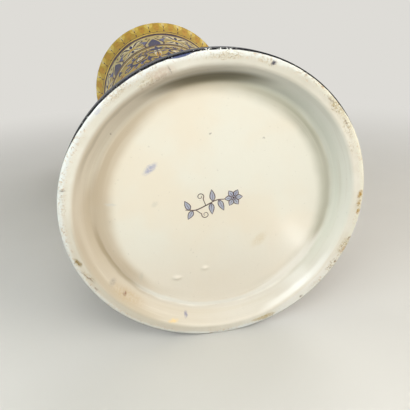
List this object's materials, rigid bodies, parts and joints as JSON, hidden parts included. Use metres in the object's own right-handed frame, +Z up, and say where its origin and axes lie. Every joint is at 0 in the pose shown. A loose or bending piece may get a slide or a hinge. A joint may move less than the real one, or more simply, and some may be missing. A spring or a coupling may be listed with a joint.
{
  "type": "conical vase",
  "caption": "Tall conical vase of painted, glazed earthenware: flared cone on a knopped stem and a spreading round foot with a recessed, glazed underside.",
  "frame": {"origin": "centre of the flat plane that the foot ring stands on", "axes": "+Z up along the vase's axis, from the foot to the mouth; +X and +Y lie in the plane of the foot ring, and the solids look the same from every side"},
  "size_m": [0.1364, 0.1364, 0.303],
  "materials": {
    "cream_glaze": "glossy cream-white glaze over a pale earthenware body, with small pits, stains and wear along the foot ring",
    "yellow_glaze": "glossy ochre-yellow ground painted in cobalt blue, manganese purple and cream",
    "cobalt_glaze": "glossy dark cobalt blue, nearly black where it lies thick",
    "fired_slip": "fired luting slip under the glaze"
  },
  "bodies": {
    "root": {"foot": "cream_glaze", "lower_slip_joint": "fired_slip", "stem_knop": "cobalt_glaze", "upper_slip_joint": "fired_slip", "body": "yellow_glaze"}
  },
  "joints": []
}
